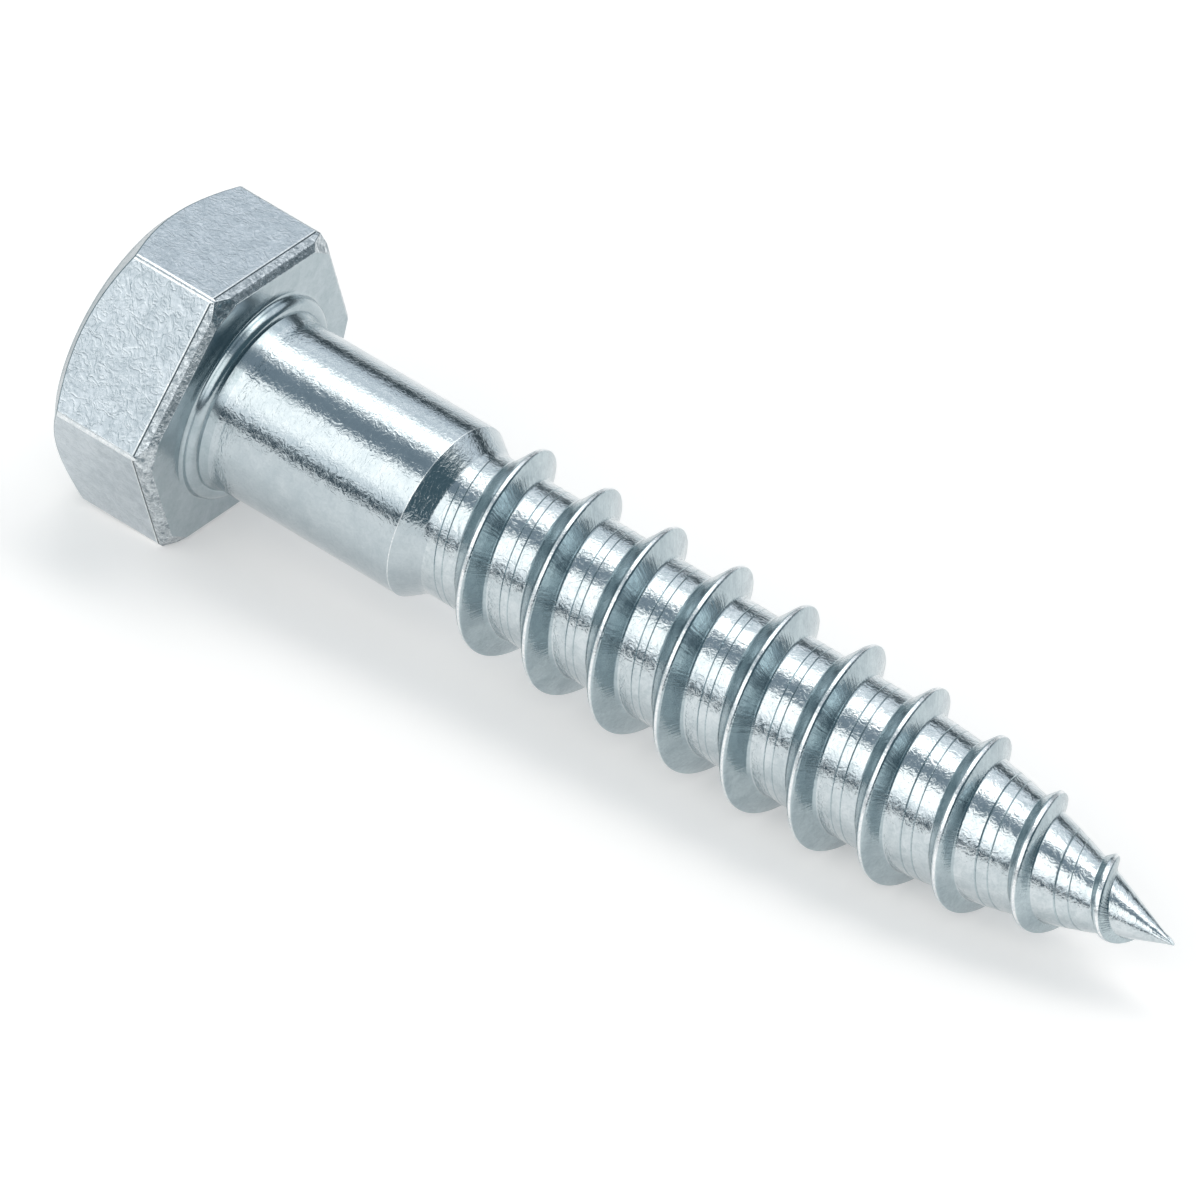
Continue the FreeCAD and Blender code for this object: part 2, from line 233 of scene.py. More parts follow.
@dataclass(frozen=True)
class ZincPlate:
    """Bright zinc plate, electroplated over cold-formed steel and left with a blue-clear passivate.

    The plate is a thin metallic layer that keeps every ripple of the steel under it. To the eye it is
    a cool, slightly blue silver with soft mirror streaks that break up along the forming marks.
    """

    name: str
    light: str = "#cbd3d6"
    dark: str = "#b9c4c8"
    # Cloudy patches where the plate has taken a little duller, about 1.5 mm across, and how far the
    # patches and the grain together stray from their mean.
    cloud_size: float = 1.5
    cloud_spread: float = 0.22
    smooth: float = 0.12
    dull: float = 0.20
    # Forming ripples: short along the screw, long round it. The real ones are finer than the render
    # can show, so they are drawn a few tenths of a millimetre wide.
    ripple_along: float = 0.28
    ripple_round: float = 1.1
    ripple_height: float = 0.022
    # Crumpled grain of the steel's skin.
    grain_size: float = 0.35
    grain_height: float = 0.012
    # Sharp creases like those of crumpled foil.
    crease_size: float = 0.7
    crease_height: float = 0.004
    crease_detail: float = 3.0
    # Handling scratches, hair-thin, drawn about a tenth of a millimetre wide so that they show.
    scratch_width: float = 0.10
    scratch_length: float = 6.0
    scratch_turn: float = 35.0
    scratch_depth: float = 0.002
    scratch_from: float = 0.62
    scratch_to: float = 0.75
    # Marks that the dies wipe outwards from the axis, a few hundredths of a millimetre apart in steel
    # and drawn a few tenths apart so that they show.
    wipe_width: float = 0.22
    wipe_radius: float = 5.6
    wipe_depth: float = 0.0

    def lay_out(self, tree: Tree, tilt: float, centre: Vector) -> Socket:
        """Add the coordinates that every pattern is drawn on.

        Args:
            tree: the material's node tree.
            tilt: how far the screw's axis dips towards the tip at rest, in degrees.
            centre: where the middle of the bearing face lies at rest, in millimetres.

        Returns:
            Millimetres from the middle of the bearing face, with X along the screw's axis.
        """
        upright = Euler((0, -math.radians(tilt), 0))
        place = add_node(tree, "ShaderNodeTexCoord")
        return add_node(
            tree,
            "ShaderNodeMapping",
            values={
                "Scale": (1 / MM,) * 3,
                "Rotation": upright,
                "Location": -(upright.to_matrix() @ centre),
            },
            links={"Vector": place.outputs["Object"]},
        ).outputs["Vector"]

    def ripple(self, tree: Tree, along: Socket) -> Socket:
        """Add the forming ripples.

        Args:
            tree: the material's node tree.
            along: coordinates in millimetres, with X along the screw.

        Returns:
            The normal with the ripples in it.
        """
        stretch = (1 / self.ripple_along, 1 / self.ripple_round, 1 / self.ripple_round)
        place = add_node(tree, "ShaderNodeMapping", values={"Scale": stretch}, links={"Vector": along})
        ripples = add_node(
            tree,
            "ShaderNodeTexNoise",
            values={"Scale": 1.0, "Detail": 3.0, "Roughness": 0.6, "Distortion": 0.4},
            links={"Vector": place.outputs["Vector"]},
        )
        return add_node(
            tree,
            "ShaderNodeBump",
            values={"Strength": 1.0, "Distance": self.ripple_height * MM},
            links={"Height": ripples.outputs["Fac"]},
        ).outputs["Normal"]

    def crease(self, tree: Tree, along: Socket, normal: Socket) -> Socket:
        """Add the sharp creases.

        Args:
            tree: the material's node tree.
            along: coordinates in millimetres, with X along the screw.
            normal: the normal so far.

        Returns:
            The normal with the creases in it.
        """
        creases = add_node(
            tree,
            "ShaderNodeTexNoise",
            values={
                "Scale": 1 / self.crease_size,
                "Detail": self.crease_detail,
                "Roughness": 0.6,
                "Offset": 0.9,
                "Gain": 1.5,
                "Distortion": 1.2,
            },
            links={"Vector": along},
            noise_type="RIDGED_MULTIFRACTAL",
        )
        return add_node(
            tree,
            "ShaderNodeBump",
            values={"Strength": 1.0, "Distance": self.crease_height * MM},
            links={"Height": creases.outputs["Fac"], "Normal": normal},
        ).outputs["Normal"]

    def scratch(self, tree: Tree, along: Socket, normal: Socket) -> Socket:
        """Add the handling scratches.

        Args:
            tree: the material's node tree.
            along: coordinates in millimetres, with X along the screw.
            normal: the normal so far.

        Returns:
            The normal with the scratches in it.
        """
        turn = math.radians(self.scratch_turn)
        turned = add_node(
            tree, "ShaderNodeMapping", values={"Rotation": (turn, turn, turn)}, links={"Vector": along}
        )
        stretch = (1 / self.scratch_width, 1 / self.scratch_length, 1 / self.scratch_length)
        place = add_node(
            tree,
            "ShaderNodeMapping",
            values={"Scale": stretch},
            links={"Vector": turned.outputs["Vector"]},
        )
        scratches = add_node(
            tree,
            "ShaderNodeTexNoise",
            values={"Scale": 1.0, "Detail": 1.0, "Distortion": 0.2},
            links={"Vector": place.outputs["Vector"]},
        )
        lines = add_node(
            tree,
            "ShaderNodeMapRange",
            values={"From Min": self.scratch_from, "From Max": self.scratch_to},
            links={"Value": scratches.outputs["Fac"]},
        )
        return add_node(
            tree,
            "ShaderNodeBump",
            values={"Strength": 1.0, "Distance": self.scratch_depth * MM},
            links={"Height": lines.outputs["Result"], "Normal": normal},
            invert=True,
        ).outputs["Normal"]

    def wipe(self, tree: Tree, along: Socket, normal: Socket) -> Socket:
        """Add the marks that run outwards from the axis.

        Args:
            tree: the material's node tree.
            along: coordinates in millimetres, with X along the screw.
            normal: the normal so far.

        Returns:
            The normal with the marks in it.
        """
        parts = add_node(tree, "ShaderNodeSeparateXYZ", links={0: along})
        around = add_node(
            tree,
            "ShaderNodeMath",
            links={0: parts.outputs["Y"], 1: parts.outputs["Z"]},
            operation="ARCTAN2",
        )
        spread = add_node(
            tree,
            "ShaderNodeMath",
            values={1: self.wipe_radius / self.wipe_width},
            links={0: around.outputs[0]},
            operation="MULTIPLY",
        )
        place = add_node(
            tree, "ShaderNodeCombineXYZ", links={"X": spread.outputs[0], "Y": parts.outputs["X"]}
        )
        marks = add_node(
            tree,
            "ShaderNodeTexNoise",
            values={"Scale": 1.0, "Detail": 3.0, "Roughness": 0.6},
            links={"Vector": place.outputs["Vector"]},
        )
        return add_node(
            tree,
            "ShaderNodeBump",
            values={"Strength": 1.0, "Distance": self.wipe_depth * MM},
            links={"Height": marks.outputs["Fac"], "Normal": normal},
        ).outputs["Normal"]

    def tone(self, tree: Tree, along: Socket, grain: Socket) -> tuple[Socket, Socket]:
        """Add the cloudy patches of the plate.

        Args:
            tree: the material's node tree.
            along: coordinates in millimetres, with X along the screw.
            grain: height of the steel's grain, which breaks the patches up.

        Returns:
            The plate's colour and its roughness.
        """
        clouds = add_node(
            tree,
            "ShaderNodeTexNoise",
            values={"Scale": 1 / self.cloud_size, "Detail": 4.0, "Roughness": 0.6, "Distortion": 0.6},
            links={"Vector": along},
        )
        patch = add_node(
            tree, "ShaderNodeMath", links={0: clouds.outputs["Fac"], 1: grain}, operation="ADD"
        )
        span = {"From Min": 1 - self.cloud_spread, "From Max": 1 + self.cloud_spread}
        worn = add_node(tree, "ShaderNodeMapRange", values=span, links={"Value": patch.outputs[0]})
        colour = add_node(
            tree,
            "ShaderNodeMix",
            values={6: linear_colour(self.light), 7: linear_colour(self.dark)},
            links={0: worn.outputs["Result"]},
            data_type="RGBA",
        )
        dullness = add_node(
            tree,
            "ShaderNodeMapRange",
            values={**span, "To Min": self.smooth, "To Max": self.dull},
            links={"Value": patch.outputs[0]},
        )
        return colour.outputs[2], dullness.outputs["Result"]

    def build(self, tilt: float, centre: Vector) -> bpy.types.Material:
        """Make the material.

        Args:
            tilt: how far the screw's axis dips towards the tip at rest, in degrees.
            centre: where the middle of the bearing face lies at rest, in millimetres.

        Returns:
            The finished material.
        """
        material = bpy.data.materials.new(self.name)
        material.use_nodes = True
        tree = material.node_tree
        tree.nodes.clear()
        along = self.lay_out(tree, tilt, centre)
        grain = add_node(
            tree,
            "ShaderNodeTexNoise",
            values={"Scale": 1 / self.grain_size, "Detail": 5.0, "Roughness": 0.65, "Distortion": 1.5},
            links={"Vector": along},
        ).outputs["Fac"]
        colour, roughness = self.tone(tree, along, grain)
        normal = add_node(
            tree,
            "ShaderNodeBump",
            values={"Strength": 1.0, "Distance": self.grain_height * MM},
            links={"Height": grain, "Normal": self.ripple(tree, along)},
        ).outputs["Normal"]
        normal = self.crease(tree, along, normal)
        normal = self.scratch(tree, along, normal)
        if self.wipe_depth:
            normal = self.wipe(tree, along, normal)
        surface = add_node(
            tree,
            "ShaderNodeBsdfPrincipled",
            values={"Metallic": 1.0},
            links={"Base Color": colour, "Roughness": roughness, "Normal": normal},
        )
        add_node(tree, "ShaderNodeOutputMaterial", links={"Surface": surface.outputs["BSDF"]})
        return material


FINISHES: dict[Skin, ZincPlate] = {
    # Cold-forged flats and crown: an even, blue-grey satin, crinkled like fine leather.
    Skin.HEAD: ZincPlate(
        "zinc_plate_on_forged_head",
        light="#c8d0d5",
        dark="#b3bdc3",
        cloud_size=1.1,
        smooth=0.16,
        dull=0.24,
        ripple_along=0.5,
        ripple_round=1.6,
        ripple_height=0.018,
        grain_size=0.6,
        grain_height=0.004,
        crease_size=0.65,
        crease_height=0.0062,
        crease_detail=5.0,
        scratch_depth=0.003,
    ),
    # Painted highlight on the edges, where tumbling also rubs them: thin, soft, near-white lines where
    # the flats meet.
    Skin.EDGE: ZincPlate(
        "zinc_plate_painted_highlight_on_edge",
        light="#f2f5f6",
        dark="#d5dcdf",
        cloud_size=0.5,
        smooth=0.22,
        dull=0.34,
        ripple_height=0.01,
        grain_size=0.3,
        grain_height=0.008,
    ),
    # Painted shade: a narrow dark line round the rim, much darker than the plate.
    Skin.SCORE: ZincPlate(
        "zinc_plate_painted_as_shade_line",
        light="#4f5a60",
        dark="#3e494e",
        smooth=0.24,
        dull=0.36,
        ripple_height=0.008,
        grain_height=0.006,
        crease_height=0.002,
    ),
    # Painted shade: the crown's chamfer and the edges on the crown's side, an even grey much darker than
    # the flats and a little duller, so that they read as a dark outline.
    Skin.TURNED: ZincPlate(
        "zinc_plate_painted_dark_on_crown_chamfer",
        light="#9ba8ad",
        dark="#88959b",
        smooth=0.18,
        dull=0.28,
        ripple_height=0.008,
        grain_height=0.006,
        crease_height=0.002,
    ),
    # Knocked by other screws in the barrel: light and dark speckles, half a millimetre across.
    Skin.RIM: ZincPlate(
        "zinc_plate_on_tumbled_rim",
        light="#e0e6e9",
        dark="#7d8990",
        cloud_size=0.4,
        smooth=0.20,
        dull=0.34,
        ripple_along=0.4,
        ripple_round=0.4,
        ripple_height=0.026,
        grain_size=0.3,
        grain_height=0.016,
        crease_size=0.5,
        crease_height=0.004,
    ),
    # Drawn through a die: the clearest mirror, whose streaks waver along the screw.
    Skin.SHANK: ZincPlate(
        "zinc_plate_on_drawn_shank",
        light="#c2cbcf",
        dark="#b3bec3",
        smooth=0.06,
        dull=0.11,
        ripple_along=0.22,
        ripple_round=0.75,
        ripple_height=0.019,
        grain_height=0.008,
        crease_size=0.6,
        crease_height=0.004,
        crease_detail=4.0,
    ),
    # Squeezed down by the rolling dies: bright and crumpled, so that its streaks break up.
    Skin.CORE: ZincPlate(
        "zinc_plate_on_rolled_core",
        light="#d3dadd",
        smooth=0.06,
        dull=0.13,
        ripple_along=0.35,
        ripple_round=0.8,
        ripple_height=0.027,
        grain_size=0.4,
        grain_height=0.014,
        crease_size=0.6,
        crease_height=0.006,
    ),
    # Pressed by smooth dies: an even satin, with soft and whole reflections.
    Skin.PRESSED: ZincPlate(
        "zinc_plate_on_pressed_face",
        light="#b6c1c6",
        dark="#a5b3b8",
        smooth=0.16,
        dull=0.22,
        ripple_height=0.006,
        grain_height=0.003,
        crease_height=0.0015,
    ),
    # Wiped by the rolling dies: a satin face with fine marks from root to crest.
    Skin.FLANK: ZincPlate(
        "zinc_plate_on_thread_flank",
        light="#bac7cb",
        dark="#a3b1b7",
        smooth=0.13,
        dull=0.20,
        ripple_height=0.006,
        grain_height=0.004,
        crease_height=0.0015,
        wipe_depth=0.030,
    ),
    # Painted highlight: a pale, soft, near-white line along the thread's crest, which the dies push up
    # but don't touch.
    Skin.CREST: ZincPlate(
        "zinc_plate_painted_highlight_on_thread_crest",
        light="#fafbfb",
        dark="#dfe5e8",
        cloud_size=0.5,
        smooth=0.20,
        dull=0.34,
        ripple_along=0.4,
        ripple_round=0.5,
        ripple_height=0.04,
        grain_size=0.3,
        grain_height=0.016,
    ),
}


@dataclass
class Blank:
    """Head, bead, shank and shoulder: turned as one form, then cut flat on six sides."""

    across_flats: float = 19.0
    head_height: float = 8.5
    # Corners between the flats: their rounding, and the angles at which it is cut, in degrees from its
    # middle.
    edge_round: float = 0.45
    edge_cuts: tuple[float, ...] = (-24, -12, 0, 12, 24)
    # The crown's turned chamfer, and how far past the flats the blank reaches before they are cut, as a
    # share of the width across them.
    crown_inset: float = 0.8
    crown_angle: float = 35.0
    crown_round: float = 0.5
    blank_share: float = 0.65
    # Corners trimmed on the bearing side.
    corner_trim: float = 1.12
    trim_angle: float = 35.0
    # The rim leans in by steps, leaning by these angles: a line painted pale as a highlight, a line
    # painted dark as shade, and a band. Then its edge is broken.
    rim_line: float = 0.1
    rim_band: float = 0.6
    rim_leans: tuple[float, float, float] = (2.0, 3.0, 4.0)
    edge_break: float = 0.4
    break_angle: float = 45.0
    # Hair-thin rounding that tumbling and plating leave on the head's rims, on each edge sharper than
    # this angle that lies further out than the bead by this much.
    rim_round: float = 0.07
    sharp_from: float = 14.0
    rim_from: float = 0.2
    bead_radius: float = 0.6
    bead_rise: float = 0.25
    bead_middle: float = 6.4
    # The shank flares a little where it meets the bead.
    flare: float = 0.3
    flare_length: float = 1.1
    shank_radius: float = 5.9
    shank_length: float = 15.1
    ridge_round: float = 0.10
    shoulder_length: float = 1.5
    shoulder_root: float = 0.8
    core_radius: float = 4.85
    steps: int = 128

    def crown(self) -> list[Point]:
        """Outline of the crown and its chamfer, past the corners and in along the bearing face.

        Returns:
            Points from the middle of the crown to the foot of the bead.
        """
        start = self.across_flats / 2 - self.crown_inset
        past = self.across_flats * self.blank_share
        slope = math.tan(math.radians(self.crown_angle))
        inset = self.crown_round * math.tan(math.radians(90 - self.crown_angle) / 2)
        centre = (-self.head_height + self.crown_round, start - inset)
        rounding = arc(centre, self.crown_round, 180, 90 + self.crown_angle, steps=4)
        far = (-self.head_height + (past - start) * slope, past)
        return [(-self.head_height, 0.0), *rounding, far, (0.0, past), self.bead()[0]]

    def bead(self) -> list[Point]:
        """Outline of the bead and of the shank's flare.

        Returns:
            Points from the bead's hollow foot over its crest, in to its crease and on to the shank.
        """
        foot = self.bead_middle + self.bead_radius
        hollow = arc((self.bead_rise, foot + self.bead_rise), self.bead_rise, 180, 270, steps=5)
        dip = math.asin((self.shank_radius + self.flare - self.bead_middle) / self.bead_radius)
        middle = (self.bead_rise, self.bead_middle)
        crest = arc(middle, self.bead_radius, 90, math.degrees(dip), steps=14)
        radius = (self.flare_length ** 2 + self.flare ** 2) / (2 * self.flare)
        opening = math.degrees(math.asin(self.flare_length / radius))
        crease = self.bead_rise + self.bead_radius * math.cos(dip)
        centre = (crease + self.flare_length, self.shank_radius + radius)
        return [*hollow, *crest[1:], *arc(centre, radius, 270 - opening, 270, steps=8)[1:]]

    def shoulder(self, end: float) -> list[Point]:
        """Outline of the ridge, the shoulder and its root.

        Args:
            end: place along the axis where the core is left open.

        Returns:
            Points from the ridge to the open end.
        """
        fall = math.atan2(self.shank_radius - self.core_radius, self.shoulder_length)
        down = math.degrees(fall)
        ridge = (
            self.shank_length - self.ridge_round * math.tan(fall / 2),
            self.shank_radius - self.ridge_round,
        )
        foot = self.shank_length + self.shoulder_length + self.shoulder_root * math.tan(fall / 2)
        root = (foot, self.core_radius + self.shoulder_root)
        return [
            *arc(ridge, self.ridge_round, 90, 90 - down, steps=5),
            *arc(root, self.shoulder_root, 270 - down, 270, steps=6),
            (end, self.core_radius),
        ]

    def rim_cuts(self) -> list[tuple[float, float, float]]:
        """Cuts that lean the rim in by steps and break its edge.

        Returns:
            Place along the axis, distance from it and lean towards the tip, in degrees, of each cut.
        """
        shade_line = -self.edge_break - self.rim_band
        places = [shade_line - self.rim_line, shade_line, shade_line + self.rim_line, -self.edge_break]
        reach = self.across_flats / 2
        cuts = []
        for place, end, lean in zip(places, places[1:], self.rim_leans):
            cuts.append((place, reach, lean))
            reach -= (end - place) * math.tan(math.radians(lean))
        return [*cuts, (-self.edge_break, reach, self.break_angle)]

    def cut_head(self) -> None:
        """Cut the flats, round their corners, trim the bearing side and break its rim."""
        flat = self.across_flats / 2
        corner_middle = (flat - self.edge_round) / math.cos(math.radians(SIDE_TURN / 2))
        trim = self.across_flats / math.sqrt(3) - self.corner_trim
        turns = [SIDE_TURN * side for side in range(SIDES)]
        for turn in turns:
            slice_off(0, flat, turn)
        for turn in turns:
            for off in self.edge_cuts:
                reach = corner_middle * math.cos(math.radians(off)) + self.edge_round
                slice_off(0, reach, turn + SIDE_TURN / 2 + off)
        for turn in turns:
            slice_off(0, trim, turn + SIDE_TURN / 2, 90 - self.trim_angle)
            for place, reach, lean in self.rim_cuts():
                slice_off(place, reach, turn, lean)

    def round_rims(self, piece: bpy.types.Object) -> None:
        """Take the sharpness off the head's rims, leaving the softer edges alone.

        Args:
            piece: the head, in edit mode.
        """
        inner = self.bead_middle + self.bead_radius + self.bead_rise + self.rim_from
        mesh = bmesh.from_edit_mesh(piece.data)
        for face in mesh.faces:
            face.select = False
        for edge in mesh.edges:
            middle = (edge.verts[0].co + edge.verts[1].co) / 2
            on_head = middle.x < SAME_PLACE and math.hypot(middle.y, middle.z) > inner
            sharp = edge.is_manifold and edge.calc_face_angle() > math.radians(self.sharp_from)
            edge.select = on_head and sharp
        mesh.select_flush_mode()
        bmesh.update_edit_mesh(piece.data)
        bpy.ops.mesh.bevel(offset=self.rim_round, segments=2, affect="EDGES", clamp_overlap=False)

    def turn_up(self, name: str, outline: list[Point]) -> bpy.types.Object:
        """Spin an outline once round the axis.

        Args:
            name: name of the new object.
            outline: place along the axis and distance from it, in order.

        Returns:
            The new object, in edit mode.
        """
        piece = draw_chain(name, outline)
        bpy.ops.mesh.spin(
            steps=self.steps, angle=math.tau, center=(0, 0, 0), axis=(1, 0, 0), use_auto_merge=True
        )
        bpy.ops.mesh.select_all(action="SELECT")
        bpy.ops.mesh.remove_doubles(threshold=MERGE)
        bpy.ops.mesh.select_mode(type="EDGE")
        return piece

    def build_head(self) -> bpy.types.Object:
        """Make the head, open where the bead rises from its bearing face.

        Returns:
            The new object.
        """
        piece = self.turn_up("head", self.crown())
        self.cut_head()
        self.round_rims(piece)
        bpy.ops.object.mode_set(mode="OBJECT")
        return piece

    def build_shank(self, end: float) -> bpy.types.Object:
        """Make the bead, shank and shoulder, open at both ends.

        Args:
            end: place along the axis where the core is left open.

        Returns:
            The new object.
        """
        piece = self.turn_up("shank", [*self.bead(), *self.shoulder(end)])
        bpy.ops.object.mode_set(mode="OBJECT")
        return piece


@dataclass
class Thread:
    """Core with its coarse right-hand thread, run in at the shoulder and out at the gimlet tip."""

    # Radii of the core and the crest, width of the crest's land, and lean of each flank from square to
    # the axis.
    core: float = 4.85
    crest: float = 6.43
    land: float = 0.35
    head_flank: float = 38.0
    tip_flank: float = 24.0
    # Hollows at the feet of the flanks, softness of the crest's edges, share of it by which the crest
    # droops half-way out, and half the width of the line painted pale as a highlight along it.
    head_root: float = 0.30
    tip_root: float = 0.35
    crest_round: float = 0.10
    crest_droop: float = 0.2
    crest_highlight_half_width: float = 0.08
    # One pitch of the outline starts this far from its crest, and the sweep with the first crest here,
    # straight above the axis.
    pitch: float = 5.0
    chain_start: float = -3.2
    first_crest: float = 14.503
    turns: int = 12
    steps: int = 128
    # Place of the crest where the fin starts to rise and where it has gone, and over what lengths.
    start: float = 17.1
    run_in: float = 1.8
    end: float = 68.1
    run_out: float = 2.5
    # The fin thins towards the tip, to this height at this place.
    thin_end: float = 67.0
    thin_length: float = 23.0
    end_height: float = 0.5
    length: float = 70.0
    tip_angle: float = 42.0
    cone_length: float = 3.95
    # The sweep is cut off short of the point and drawn in to it, with one ring between. It keeps this
    # least radius beyond the point, until it is cut.
    tip_cut: float = 69.6
    tip_step: float = 0.06
    tip_shrink: float = 0.3
    least_radius: float = 0.01
    # Faint lines that the rolling dies leave round the core: place after the crest, and depth. They fade
    # out over a stretch before the bare tip.
    roll_lines: tuple[Point, ...] = ((-3.0, 0.05), (-2.42, 0.035))
    roll_line_width: float = 0.09
    roll_line_fade: float = 4.0

    def root(self, side: int) -> list[Point]:
        """Hollow where a flank meets the core, as offsets from the crest and heights over the core.

        Args:
            side: -1 for the head's side of the crest, 1 for the tip's.

        Returns:
            Points from the core up on to the flank.
        """
        flank = self.head_flank if side < 0 else self.tip_flank
        radius = self.head_root if side < 0 else self.tip_root
        height = self.crest - self.core
        foot = self.land / 2 + height * math.tan(math.radians(flank))
        run = radius * math.tan(math.radians(90 - flank) / 2)
        points = arc((foot + run, radius), radius, 270, 180 + flank, steps=6)
        return [(side * x, h) for x, h in points]

    def rise(self, side: int) -> list[Point]:
        """One side of the fin, as offsets from the crest and heights over the core.

        Args:
            side: -1 for the head's side of the crest, 1 for the tip's.

        Returns:
            Points from the core up to the line along the crest.
        """
        lean = math.radians(self.head_flank if side < 0 else self.tip_flank)
        slope = math.tan(lean)
        back = self.crest_round / math.cos(lean)
        height = self.crest - self.core
        half = self.land / 2
        points = [
            (half + height / 2 * slope, height / 2),
            (half + back * slope, height - back),
            ((half + self.crest_highlight_half_width) / 2, height - self.crest_droop * self.crest_round),
            (self.crest_highlight_half_width, height),
        ]
        return [*self.root(side), *((side * x, h) for x, h in points)]

    def section(self) -> list[Point]:
        """One pitch of the surface, as offsets from the crest and heights over the core.

        Returns:
            Points from the core before the crest, over the fin, to the core after it.
        """
        half_line = self.roll_line_width / 2
        lines = []
        for place, depth in self.roll_lines:
            lines += [(place - half_line, 0.0), (place, -depth), (place + half_line, 0.0)]
        end = self.chain_start + self.pitch
        return [(self.chain_start, 0.0), *lines, *self.rise(-1), *reversed(self.rise(1)), (end, 0.0)]

    def core_radius(self, x: np.ndarray) -> np.ndarray:
        """Radius of the core: straight, then an arc on to the tip's cone.

        Args:
            x: places along the axis.

        Returns:
            The radius at each place.
        """
        half_tip = math.radians(self.tip_angle / 2)
        cone_start = self.length - self.cone_length
        nose = (self.core - self.cone_length * math.tan(half_tip)) / (1 - math.cos(half_tip))
        nose_start = cone_start - nose * math.sin(half_tip)
        inside = np.clip(x - nose_start, 0, nose * math.sin(half_tip))
        curved = self.core - nose + np.sqrt(nose ** 2 - inside ** 2)
        return np.where(x < cone_start, curved, np.maximum(self.length - x, 0) * math.tan(half_tip))

    def share(self, crest: np.ndarray) -> np.ndarray:
        """Share of its full height that the fin has.

        Args:
            crest: places of the crest along the axis.

        Returns:
            The share at each place.
        """
        lead_in = np.clip((crest - self.start) / self.run_in, 0, 1)
        lead_out = np.clip((self.end - crest) / self.run_out, 0, 1)
        thinned = np.clip(1 - (self.thin_end - crest) / self.thin_length, 0, 1)
        full = self.crest - self.core
        height = (full + (self.end_height - full) * thinned) / full
        return height * np.sin(np.pi / 2 * lead_in) * np.sin(np.pi / 2 * lead_out)

    def offset(self, x: Places, y: Places, z: Places) -> Places:
        """Distance along the axis from the crest of the turn that a place belongs to.

        Args:
            x: place along the axis, or an array of places.
            y: place across it.
            z: place above it.

        Returns:
            The distance, from the start of one pitch of the outline to its end.
        """
        turn = np.arctan2(-y, z)
        offset = x - self.first_crest - self.pitch * turn / math.tau
        # A place at the very start of a pitch belongs to it, whichever way it was rounded.
        return (offset - self.chain_start + ON_PLANE) % self.pitch + self.chain_start - ON_PLANE

    def shape_ends(self, piece: bpy.types.Object) -> None:
        """Draw the fin down at both ends and along the nose, and the core in on to the tip.

        Args:
            piece: the swept surface, of one section all along.
        """
        mesh = piece.data
        flat = np.empty(len(mesh.vertices) * 3, dtype=np.float64)
        mesh.vertices.foreach_get("co", flat)
        x, y, z = flat.reshape(-1, 3).T
        turn = np.arctan2(-y, z)
        offset = self.offset(x, y, z)
        crest = x - offset
        over = np.hypot(y, z) - self.core
        share = self.share(crest)
        half = self.land / 2
        feet = [self.root(side)[0][0] for side in (-1, 1)]
        # How far the flank's foot lies from the crest on the vertex's side, and how far the pitch goes.
        reach = np.abs(np.where(offset < 0, feet[0], feet[1]))
        rest = np.where(offset < 0, -self.chain_start, self.pitch + self.chain_start)
        # The fin thins about the crest's land as it sinks, and the core between takes up what is left.
        side = np.where(offset < 0, -1.0, 1.0)
        out = np.abs(offset)
        drawn = half + (out - half) * share
        kept = half + (reach - half) * share
        beyond = kept + (out - reach) * (rest - kept) / (rest - reach)
        moved = np.where(out <= half, out, np.where(out <= reach, drawn, beyond))
        x = crest + side * moved
        line_share = np.clip((self.thin_end - x) / self.roll_line_fade, 0, 1)
        radius = self.core_radius(x) + over * np.where(over > 0, share, line_share)
        radius = np.maximum(radius, self.least_radius)
        turned = np.column_stack([x, -radius * np.sin(turn), radius * np.cos(turn)])
        mesh.vertices.foreach_set("co", turned.ravel())
        mesh.update()

    def close_tip(self) -> None:
        """Draw the open ring at the tip in to a point."""
        bpy.ops.mesh.extrude_region_move()
        bpy.ops.transform.resize(
            value=(0, self.tip_shrink, self.tip_shrink),
            center_override=(self.length - self.tip_step, 0, 0),
        )
        bpy.ops.mesh.extrude_region_move()
        bpy.ops.mesh.merge(type="CENTER")
        bpy.ops.transform.translate(value=(self.tip_step, 0, 0))

    def build(self, begin: float) -> bpy.types.Object:
        """Make the threaded core, open towards the shoulder.

        Args:
            begin: place along the axis where the core is left open.

        Returns:
            The new object.
        """
        outline = [(self.first_crest + offset, self.core + height) for offset, height in self.section()]
        piece = draw_chain("threaded_core", outline)
        bpy.ops.object.mode_set(mode="OBJECT")
        apply_modifier(
            piece,
            "SCREW",
            axis="X",
            angle=math.tau,
            screw_offset=self.pitch,
            iterations=self.turns,
            steps=self.steps,
            render_steps=self.steps,
            use_merge_vertices=False,
        )
        bpy.ops.object.mode_set(mode="EDIT")
        bpy.ops.mesh.select_mode(type="EDGE")
        bpy.ops.mesh.select_all(action="SELECT")
        bpy.ops.mesh.remove_doubles(threshold=MERGE)
        bpy.ops.object.mode_set(mode="OBJECT")
        self.shape_ends(piece)
        bpy.ops.object.mode_set(mode="EDIT")
        bpy.ops.mesh.select_all(action="SELECT")
        bpy.ops.mesh.bisect(
            plane_co=(begin, 0, 0), plane_no=(1, 0, 0), clear_inner=True, threshold=ON_PLANE
        )
        bpy.ops.mesh.select_all(action="SELECT")
        bpy.ops.mesh.bisect(
            plane_co=(self.tip_cut, 0, 0), plane_no=(1, 0, 0), clear_outer=True, threshold=ON_PLANE
        )
        select_open_edges(piece, self.tip_cut, SAME_PLACE)
        self.close_tip()
        bpy.ops.object.mode_set(mode="OBJECT")
        return piece


